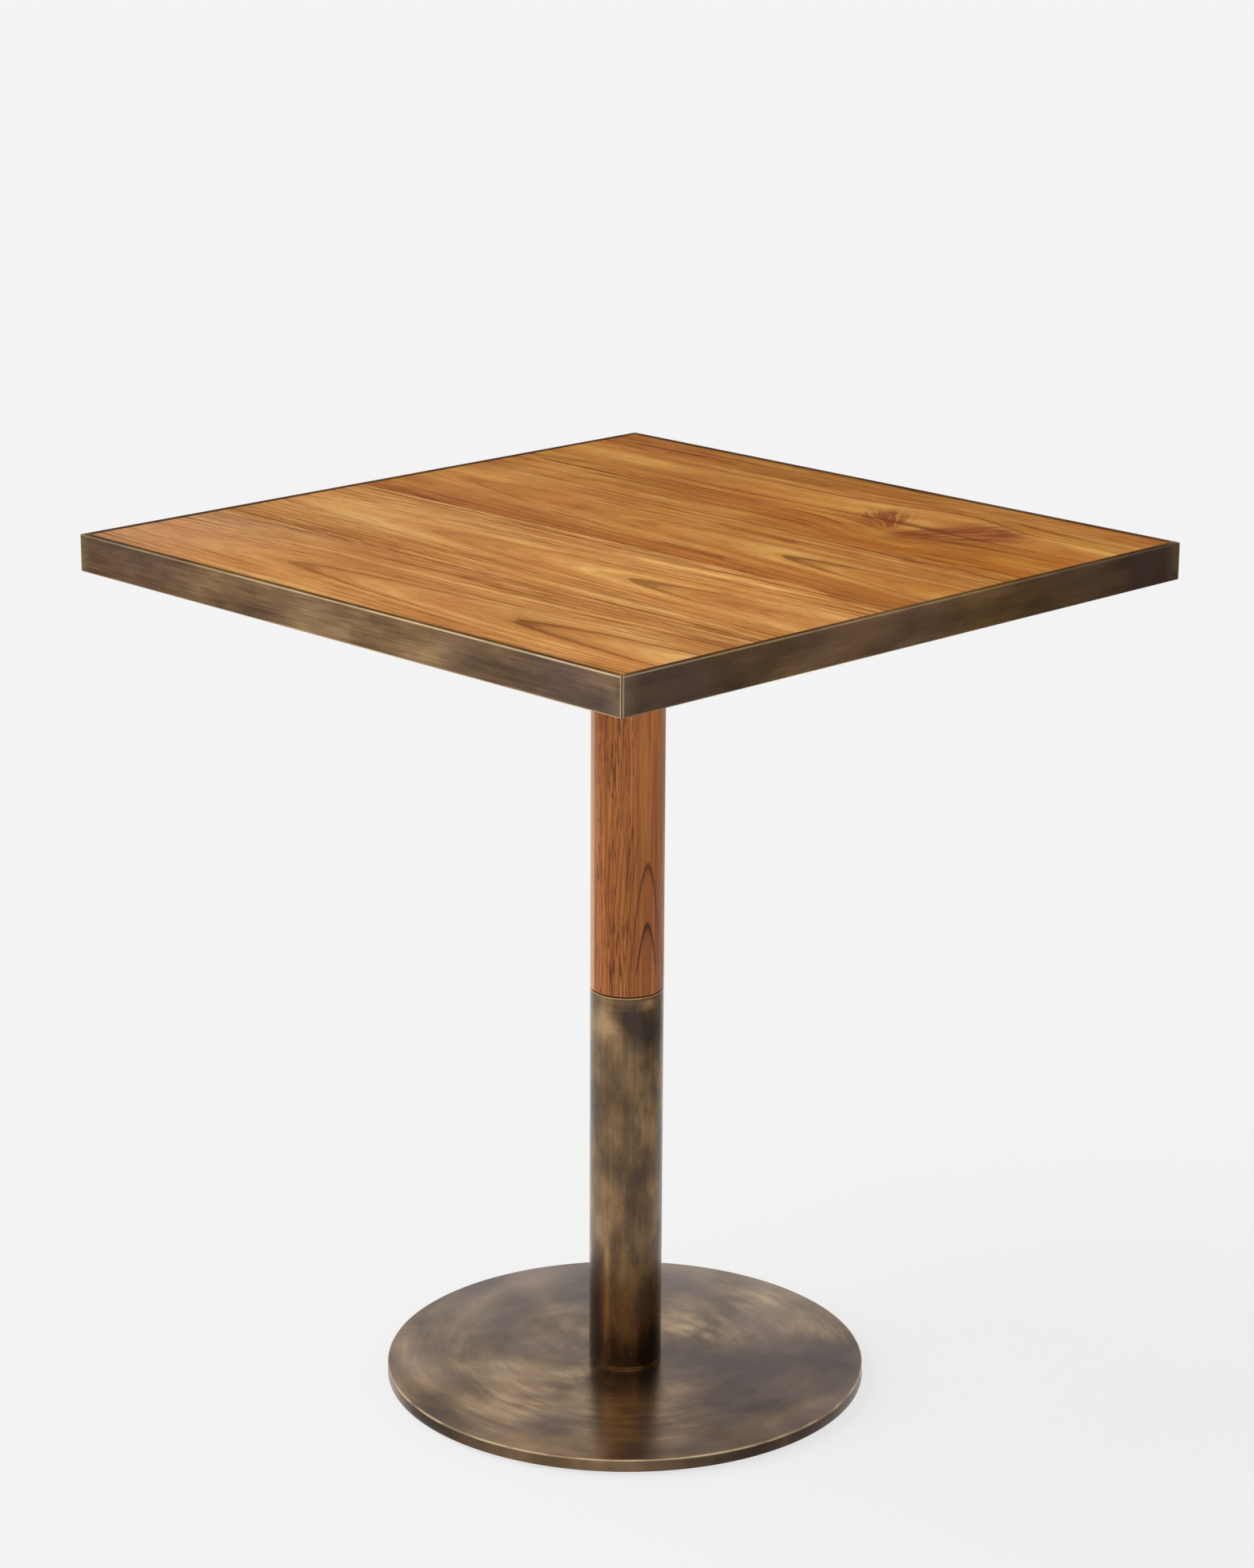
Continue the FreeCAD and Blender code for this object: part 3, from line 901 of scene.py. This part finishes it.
tube_ease = 0.4 * MM
brass_sleeve = sleeve(column_radius, plug_radius + sleeve_fit, tube_low.z, tube_high.z, tube_ease,
                      tube_ease)
hand_over("brass_sleeve", brass_sleeve, column_brass(), "column_brass", "column_brass_sleeve")

# %% [markdown]
# The base
#
# A brass sheet covers the steel disc and a brass hoop closes its edge. Both are turned, and where they
# meet the two rounded edges leave a fine seam. The sheet was brushed in circles by hand, so its strokes
# are arcs. Polar places would tear where the angle starts again, so the pattern reads the direction from
# the middle as two numbers, which close up all round. The large clouds are listed one by one, like the
# spots of the tube.

# %% The finish of the base
base_pit_spacing = 46 * MM
DARK_CLOUDS = (
    ((0.118, 0.055), 76 * MM, 1.0), ((0.062, 0.030), 46 * MM, 0.9), ((-0.152, -0.044), 45 * MM, 0.7),
    ((-0.105, 0.105), 62 * MM, 0.6), ((0.138, -0.020), 56 * MM, 0.7), ((-0.040, -0.015), 34 * MM, 0.9),
)
PALE_CLOUDS = (
    ((0.006, 0.085), 34 * MM, 1.0), ((0.004, -0.060), 20 * MM, 1.0), ((0.004, -0.150), 44 * MM, 1.0),
    ((-0.005, 0.172), 36 * MM, 1.0), ((-0.130, -0.110), 40 * MM, 0.6), ((0.092, -0.094), 55 * MM, 1.0),
    ((0.085, 0.165), 30 * MM, 0.8),
)
plate_low, plate_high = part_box("base_plate")


def clouds_at(brass, places):
    """The strongest of several clouds, each with its place on the disc, its reach and its strength."""
    return strongest([spot(((brass.x, x), (brass.y, y)), reach) * strength
                      for (x, y), reach, strength in places])


def base_brass(name, clouded, bloom_share):
    brass = Finish(name, metallic=1.0)
    x, y, z = brass.x, brass.y, brass.z
    out = (x * x + y * y).root().most(1 * MM)
    to_x = x / out
    to_y = y / out
    twist = out * 12
    broad = brass.cloud(12, 12, 2.0, detail=3)
    swirl = brass.noise(to_x * 2.4 + twist, to_y * 2.4 - twist, out * 24, detail=3)
    arcs = brass.noise(to_x * 5, to_y * 5, out * 520 + z * 520, detail=3, roughness=0.65)
    swept = brass.noise(to_x * 2.6 + twist, to_y * 2.6 - twist, out * 120, detail=2)
    strokes = swept.rise(0.52, 0.7) * broad.rise(0.42, 0.6)
    dark = clouds_at(brass, DARK_CLOUDS)
    pale = clouds_at(brass, PALE_CLOUDS)
    scuffed = strokes * 0.04 + swept.rise(0.42, 0.62) * pale * 0.11
    clouds = broad * 0.55 + swirl * 0.45 + scuffed + pale * 0.05 - dark * 0.23 + clouded
    pits = brass.specks(base_pit_spacing).fall(0.010, 0.022)
    # the rounded rim of the sheet is gold, from rubbing and as a painted highlight
    rim = (base_radius - out).fall(0.3 * MM, 1.4 * MM) * (z - plate_high.z).rise(-0.8 * MM, 0.6 * MM)
    ragged = brass.cloud(40, 200, detail=3).rise(0.35, 0.6)
    wear_and_highlight = rim * (ragged * 0.5 + 0.3)
    hazy = brass.cloud(13, 13, 8.0).rise(0.42, 0.66) * 0.42
    before = spot(((x, 0.1), (y, -0.1)), 60 * MM)
    bloom = hazy.most(dark * 0.35).most(before * 0.3) * bloom_share
    lines = arcs * 0.45 + 0.275
    return aged_brass(brass, clouds - pits * 0.4, bloom, lines, wear_and_highlight, contrast=1.2, roughness=0.2)


print(len(DARK_CLOUDS), "dark clouds and", len(PALE_CLOUDS), "pale ones on the base")

# %% [markdown]
# Both pieces of the base have a plain section, a rectangle on one side of the axis. The sheet's upper
# edge is rounded most, because that is the edge that shows. The hoop's two edges are rounded less.

# %% The sheet and the hoop
skin_ease = 1.2 * MM
hoop_ease = 0.5 * MM
hoop_foot = 1.0 * MM
base_steps = 320


def disc_ring(bore, low, high):
    """A flat ring out to the edge of the base."""
    return turned([(bore, low), (base_radius, low), (base_radius, high), (bore, high)], base_steps)


def ease_edge(bm, height, size, segments=3):
    """Rounds the outer edge at one height."""
    ease(bm, lambda place: near(place.z, height) and near(place.xy.length, base_radius), size, segments)


skin = disc_ring(plug_radius + sleeve_fit, plate_high.z, base_top)
ease_edge(skin, base_top, skin_ease, segments=4)
hand_over("brass_skin", skin, base_brass("base_brass_skin", 0.01, 1.0), "base_brass", "base_skin")

hoop = disc_ring(plate_high.x, plate_low.z, plate_high.z)
ease_edge(hoop, plate_high.z, hoop_ease)
ease_edge(hoop, plate_low.z, hoop_foot)
# the hoop's finish is the sheet's set darker: painted shade on the upright side
hand_over("brass_hoop", hoop, base_brass("base_brass_hoop", -0.1, 0.4), "base_brass", "base_rim")

# %% [markdown]
# Screws and bolts
#
# Countersunk screws hold the flange and the mounting plate to the top, and three bolts hold the base to
# the column. They only show from below, where their drive sockets do. One ring of points starts as the
# socket's outline, a star or a hexagon, and extruding it again and again gives the flat head, the cone,
# the shank and the end. The first ring is extruded once more, inwards, for the socket.

# %% One fastener
socket_sides = 48
socket_points = 6
star_depth = 0.14
end_share = 0.3


def star(angle):
    return 1 + star_depth * math.cos(socket_points * angle)


def hexagon(angle):
    sixth = math.tau / socket_points
    return math.cos(sixth / 2) / math.cos(angle % sixth - sixth / 2)


def extrude_ring(bm, edges, radius, rise):
    """Extrudes a ring of edges, sets it to a radius and lifts it. Gives back the new ring."""
    pulled = bmesh.ops.extrude_edge_only(bm, edges=edges)["geom"]
    corners = only(bmesh.types.BMVert, pulled)
    for corner in corners:
        corner.co.xy = corner.co.xy.normalized() * radius
    bmesh.ops.translate(bm, vec=(0, 0, rise), verts=corners)
    return [edge for edge in only(bmesh.types.BMEdge, pulled) if edge.is_boundary]


def fastener(head, shank, length, point, socket, socket_radius, socket_depth):
    """A countersunk fastener that points up, with its flat head at height zero."""
    bm = bmesh.new()
    ring = bmesh.ops.create_circle(bm, segments=socket_sides, radius=socket_radius)["verts"]
    for corner in ring:
        corner.co.xy *= socket(math.atan2(corner.co.y, corner.co.x))
    edges = bm.edges[:]
    floor = only(bmesh.types.BMVert, bmesh.ops.extrude_edge_only(bm, edges=edges)["geom"])
    bmesh.ops.translate(bm, vec=(0, 0, socket_depth), verts=floor)
    bm.faces.new(floor)
    cone = head - shank
    stages = ((head, 0.0), (shank, cone), (shank, length - cone - point), (shank * end_share, point))
    for radius, rise in stages:
        edges = extrude_ring(bm, edges, radius, rise)
    bmesh.ops.edgeloop_fill(bm, edges=edges)
    return bm


print("sockets with", socket_points, "points")

# %% [markdown]
# One fastener of each kind is copied to all of its places, and a set counts as one piece. The screws are
# zinc plated, which is a bright metal with a faint yellow and blue cast. Several plain finishes of the
# table have that build, two colours in soft clouds under a fine grain, so one function makes them all.

# %% The sets of screws and bolts


def scatter(bm, places, height):
    """Copies one shape to several places, and takes the first one away."""
    first = bm.verts[:] + bm.edges[:] + bm.faces[:]
    for x, y in places:
        copies = bmesh.ops.duplicate(bm, geom=first)["geom"]
        bmesh.ops.translate(bm, vec=(x, y, height), verts=only(bmesh.types.BMVert, copies))
    bmesh.ops.delete(bm, geom=first, context="VERTS")
    return bm


def plain_finish(name, clouds, dark, pale, grain, rough, depth, metallic=0.0, specular=0.5):
    """Clouds choose between two colours. The grain swings the roughness above its least value."""
    finish = Finish(name, metallic, specular)
    colour = finish.ramp(finish.cloud(**clouds), dark, pale)
    fine = finish.cloud(**grain)
    swing, least = rough
    return finish.done(colour, fine * swing + least, fine, depth)


zinc_plate = plain_finish("zinc_plate", dict(across=300, up=300), (0.35, shade(188, 190, 196)),
                          (0.65, shade(206, 200, 184)), dict(across=2500, up=2500), (0.2, 0.22),
                          0.01 * MM, metallic=1.0)

plate_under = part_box("mounting_plate")[0]
plate_inset = 22 * MM
screw_reach = -plate_under.x - plate_inset
plate_places = [(x * screw_reach, y * screw_reach) for x in (-1, 0, 1) for y in (-1, 0, 1) if x or y]
plate_screw = fastener(head=4.8 * MM, shank=2.5 * MM, length=21 * MM, point=2.5 * MM, socket=star,
                       socket_radius=2.0 * MM, socket_depth=2.0 * MM)
plate_set = scatter(plate_screw, plate_places, plate_under.z)
hand_over("plate_screw_set", plate_set, zinc_plate, "screw_steel", "plate_screws")

rail_places = [place for turns in range(4) for place in rail_screw_places(turns)]
rail_screw = fastener(rail_screw_head, rail_screw_shank, length=11 * MM, point=rail_screw_shank,
                      socket=star, socket_radius=1.5 * MM, socket_depth=1.4 * MM)
rail_set = scatter(rail_screw, rail_places, rail_bottom)
hand_over("rail_screw_set", rail_set, zinc_plate, "screw_steel", "rail_screws")

bolt_ring = 17 * MM
bolt_angles = [math.radians(90 + 120 * number) for number in range(3)]
bolt_places = [(bolt_ring * math.cos(angle), bolt_ring * math.sin(angle)) for angle in bolt_angles]
bolt = fastener(head=7.75 * MM, shank=4.0 * MM, length=19 * MM, point=0.0, socket=hexagon,
                socket_radius=2.9 * MM, socket_depth=3.2 * MM)
bolt_set = scatter(bolt, bolt_places, plate_low.z)
hand_over("foot_bolt_set", bolt_set, zinc_plate, "screw_steel", "column_bolts")

# %% [markdown]
# The levelling glides
#
# Four nylon feet under the base screw in and out on threaded stems. A thread is a small ridge that
# climbs as it turns, so its section is spun with a lift at each step, and the helix is then cut flat at
# both ends. The feet are moulded discs with notches for the fingers, and the solids of the frame already
# have that shape.

# %% The threaded stems
thread_pitch = 1.25 * MM
thread_steps = 24
thread_depth = 0.75 * MM
spare_turns = 2
glide_numbers = range(1, 5)


def threaded_stem(low, high):
    radius = (high.x - low.x) / 2
    middle = (low + high) / 2
    root = radius - thread_depth
    start = low.z - spare_turns * thread_pitch
    turns = math.ceil((high.z - low.z) / thread_pitch) + 2 * spare_turns
    bm = bmesh.new()
    outline = [(root, 0.0), (radius, thread_pitch / 2), (root, thread_pitch)]
    corners = [bm.verts.new((across, 0, start + up)) for across, up in outline]
    edges = [bm.edges.new(pair) for pair in zip(corners, corners[1:])]
    bmesh.ops.spin(bm, geom=corners + edges, cent=(0, 0, 0), axis=(0, 0, 1), angle=turns * math.tau,
                   dvec=(0, 0, thread_pitch / thread_steps), steps=turns * thread_steps)
    bmesh.ops.remove_doubles(bm, verts=bm.verts, dist=merge_distance)
    cut_flat(bm, (0, 0, low.z), (0, 0, -1))
    cut_flat(bm, (0, 0, high.z), (0, 0, 1))
    bmesh.ops.translate(bm, vec=(middle.x, middle.y, 0), verts=bm.verts)
    return bm


for number in glide_numbers:
    node = f"glide_stem_{number}"
    hand_over(f"threaded_stem_{number}", threaded_stem(*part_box(node)), zinc_plate, "screw_steel", node,
              body=f"glide_{number}_stem")

# %% [markdown]
# Finishes for the solids that stay
#
# The plywood panel, the steel plates, the inner tube and plug, the collar and the feet are right as they
# are. They keep their shape and only get a finish: plywood with a pale straight grain, black powder coat
# with its fine orange-peel, drawn steel with lines along it, and nylon with a moulded bloom.

# %% Plywood, steel and nylon


def plywood():
    wood = Finish("plywood", metallic=0.0, specular=0.25)
    sway = wood.noise(wood.x * 4, wood.y * 14, wood.z * 14, detail=2) - 0.5
    figure = wood.noise(wood.x * 3, wood.y * 130 + sway * 9, wood.z * 900, detail=4, roughness=0.6)
    fibre = wood.noise(wood.x * 30, wood.y * 900, wood.z * 900, detail=2)
    colour = wood.ramp(figure, (0.3, shade(166, 130, 90)), (0.5, shade(196, 162, 118)),
                       (0.7, shade(212, 182, 140)))
    return wood.done(colour, fibre * 0.15 + 0.6, fibre, 0.05 * MM)


black_steel = plain_finish("powder_coat", dict(across=25, up=25, detail=4), (0.35, shade(24, 24, 25)),
                           (0.7, shade(44, 43, 42)), dict(across=900, up=900), (0.2, 0.45), 0.03 * MM,
                           specular=0.4)
bare_steel = plain_finish("drawn_steel", dict(across=20, up=20, detail=3), (0.35, shade(150, 150, 152)),
                          (0.65, shade(182, 180, 176)), dict(across=900, up=8, detail=3), (0.25, 0.25),
                          0.01 * MM, metallic=1.0)
foot_nylon = plain_finish("nylon", dict(across=160, up=160, detail=4), (0.4, shade(30, 30, 31)),
                          (0.75, shade(62, 60, 57)), dict(across=1200, up=1200), (0.2, 0.42), 0.02 * MM,
                          specular=0.45)
KEPT = {
    "backing_panel": plywood(), "mounting_plate": black_steel, "column_joint_collar": black_steel,
    "base_plate": black_steel, "column_core_tube": bare_steel, "column_foot_plug": bare_steel,
}
KEPT.update({f"glide_pad_{number}": foot_nylon for number in glide_numbers})
for node, material in KEPT.items():
    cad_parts[node].material_slots[0].material = material
print("finishes on", len(KEPT), "solids of the frame")

# %% [markdown]
# The studio
#
# The table stands on a wide sheet of pale paper. The paper is one large plane in the background's own
# grey, so it has no horizon. Part of what the camera sees of it is its own glow, which keeps the shadow
# soft. A Light Path node tells the rays that see the paper from those that only carry its light.

# %% The paper
paper_grey = shade(243, 243, 243)
paper_reach = 60.0
glow_share = 0.8


def stage_plane(name, half_width, half_height, material):
    bm = bmesh.new()
    bmesh.ops.create_grid(bm, x_segments=1, y_segments=1, size=1.0)
    bmesh.ops.scale(bm, vec=(half_width, half_height, 1), verts=bm.verts)
    plane = new_object(name, bm)
    plane.data.materials.append(material)
    return plane


def rays_that_see(tree, otherwise):
    """One for the camera, for reflections and for what shows through glass, else a value for light."""
    path = tree.nodes.new("ShaderNodeLightPath")
    found = None
    for ray in ("Is Camera Ray", "Is Glossy Ray", "Is Transmission Ray"):
        most = tree.nodes.new("ShaderNodeMath")
        most.operation = "MAXIMUM"
        most.inputs[1].default_value = otherwise
        tree.links.new(path.outputs[ray], most.inputs[0])
        if found:
            tree.links.new(found, most.inputs[1])
        found = most.outputs[0]
    return found


def paper():
    material = bpy.data.materials.new("paper")
    material.use_nodes = True
    nodes = material.node_tree.nodes
    links = material.node_tree.links
    nodes.clear()
    sheet = nodes.new("ShaderNodeBsdfDiffuse")
    sheet.inputs["Color"].default_value = paper_grey
    glow = nodes.new("ShaderNodeEmission")
    glow.inputs["Color"].default_value = paper_grey
    share = nodes.new("ShaderNodeMath")
    share.operation = "MULTIPLY"
    share.inputs[1].default_value = glow_share
    both = nodes.new("ShaderNodeMixShader")
    links.new(rays_that_see(material.node_tree, 0.0), share.inputs[0])
    links.new(share.outputs[0], both.inputs[0])
    links.new(sheet.outputs[0], both.inputs[1])
    links.new(glow.outputs[0], both.inputs[2])
    links.new(both.outputs[0], nodes.new("ShaderNodeOutputMaterial").inputs["Surface"])
    return material


stage_plane("studio_paper", paper_reach, paper_reach, paper())
print("paper", 2 * paper_reach, "m wide")

# %% [markdown]
# The camera stands a little above the top, off the corner between the front and the right edge. Its
# lens, place and tilt were worked out from the corners of the top and the ellipse of the base. The small
# roll is part of the view, and shows in the slope of the far edges.

# %% The camera
image_height = 1975
sensor_size = 36.0
focal_pixels = 4934.98
camera_distance = 3.19548
camera_height = 1.46917
camera_bearing = math.radians(45.59)
camera_pan = math.radians(0.016)
camera_pitch = math.radians(16.19)
camera_roll = math.radians(0.3)

lens = bpy.data.cameras.new("camera")
lens.sensor_width = sensor_size
lens.lens = focal_pixels * sensor_size / image_height
lens.clip_end = 4 * paper_reach
camera = bpy.data.objects.new("camera", lens)
bpy.context.scene.collection.objects.link(camera)
stand = Matrix.Translation((camera_distance * math.sin(camera_bearing),
                            -camera_distance * math.cos(camera_bearing), camera_height))
pan = Matrix.Rotation(camera_bearing + camera_pan, 4, "Z")
tilt = Matrix.Rotation(quarter - camera_pitch, 4, "X")
roll = Matrix.Rotation(camera_roll, 4, "Z")
camera.matrix_world = stand @ pan @ tilt @ roll
bpy.context.scene.camera = camera
print(f"lens {lens.lens:.1f} mm")

# %% [markdown]
# The light is one broad soft key from the left, a weaker low one that reaches the column under the top,
# a faint low one from behind, and an even glow all round. Together they give level surfaces about as
# much light as a colour needs to look as it is written. Reflections don't see the three lamps, because a
# lamp would show in the brass as a hard glare. They see the surroundings, which are as bright as the
# paper to the camera and to reflections, and dimmer as a light.

# %% Light
fill_level = 0.56
LAMPS = (
    dict(name="key", bearing=-95, height=43, spread=60, level=0.44),
    dict(name="side", bearing=-66, height=14, spread=30, level=0.05),
    dict(name="rim", bearing=-140, height=12, spread=24, level=0.03),
)


def soft_light(name, bearing, height, spread, level):
    """A soft lamp far away, in degrees, to the right of the camera for a positive bearing."""
    data = bpy.data.lights.new(name, "SUN")
    data.angle = math.radians(spread)
    data.energy = level * math.pi / math.sin(math.radians(height))
    light = bpy.data.objects.new(name, data)
    bpy.context.scene.collection.objects.link(light)
    light.visible_glossy = False
    turn = Matrix.Rotation(camera_bearing + math.radians(bearing), 4, "Z")
    light.matrix_world = turn @ Matrix.Rotation(quarter - math.radians(height), 4, "X")
    print(f"{name}: {data.energy:.2f} W/m2")


for lamp in LAMPS:
    soft_light(**lamp)

world = bpy.data.worlds.new("studio")
world.use_nodes = True
bpy.context.scene.world = world
glow = world.node_tree.nodes["Background"]
glow.inputs["Color"].default_value = paper_grey
world.node_tree.links.new(rays_that_see(world.node_tree, fill_level), glow.inputs["Strength"])
bpy.context.scene.view_settings.view_transform = "Standard"

# %% [markdown]
# With white all round, the brass would have no shape. A photographer stands a card beside it, so that
# one side reflects something darker. This card is to the right, and only reflections can see it: it is
# hidden from the camera, it takes no light away and it casts no shadow.

# %% The card
card_bearing = camera_bearing + quarter
card_distance = 0.95
card_half_width = 0.95
card_half_height = 0.8


def dark_card():
    material = bpy.data.materials.new("dark_card")
    material.use_nodes = True
    shader = material.node_tree.nodes["Principled BSDF"]
    shader.inputs["Base Color"].default_value = shade(168, 166, 164)
    shader.inputs["Roughness"].default_value = 0.9
    return material


card = stage_plane("dark_card", card_half_width, card_half_height, dark_card())
upright = Matrix.Rotation(quarter, 4, "X")
out = Matrix.Translation((0, -card_distance, card_half_height))
card.matrix_world = Matrix.Rotation(card_bearing, 4, "Z") @ out @ upright
card.visible_camera = False
card.visible_diffuse = False
card.visible_shadow = False
print("card", card_distance, "m away")

# %% [markdown]
# A finish can't change a size, and finer edges only take material away, so the dressed table should
# have the same box as the frame.
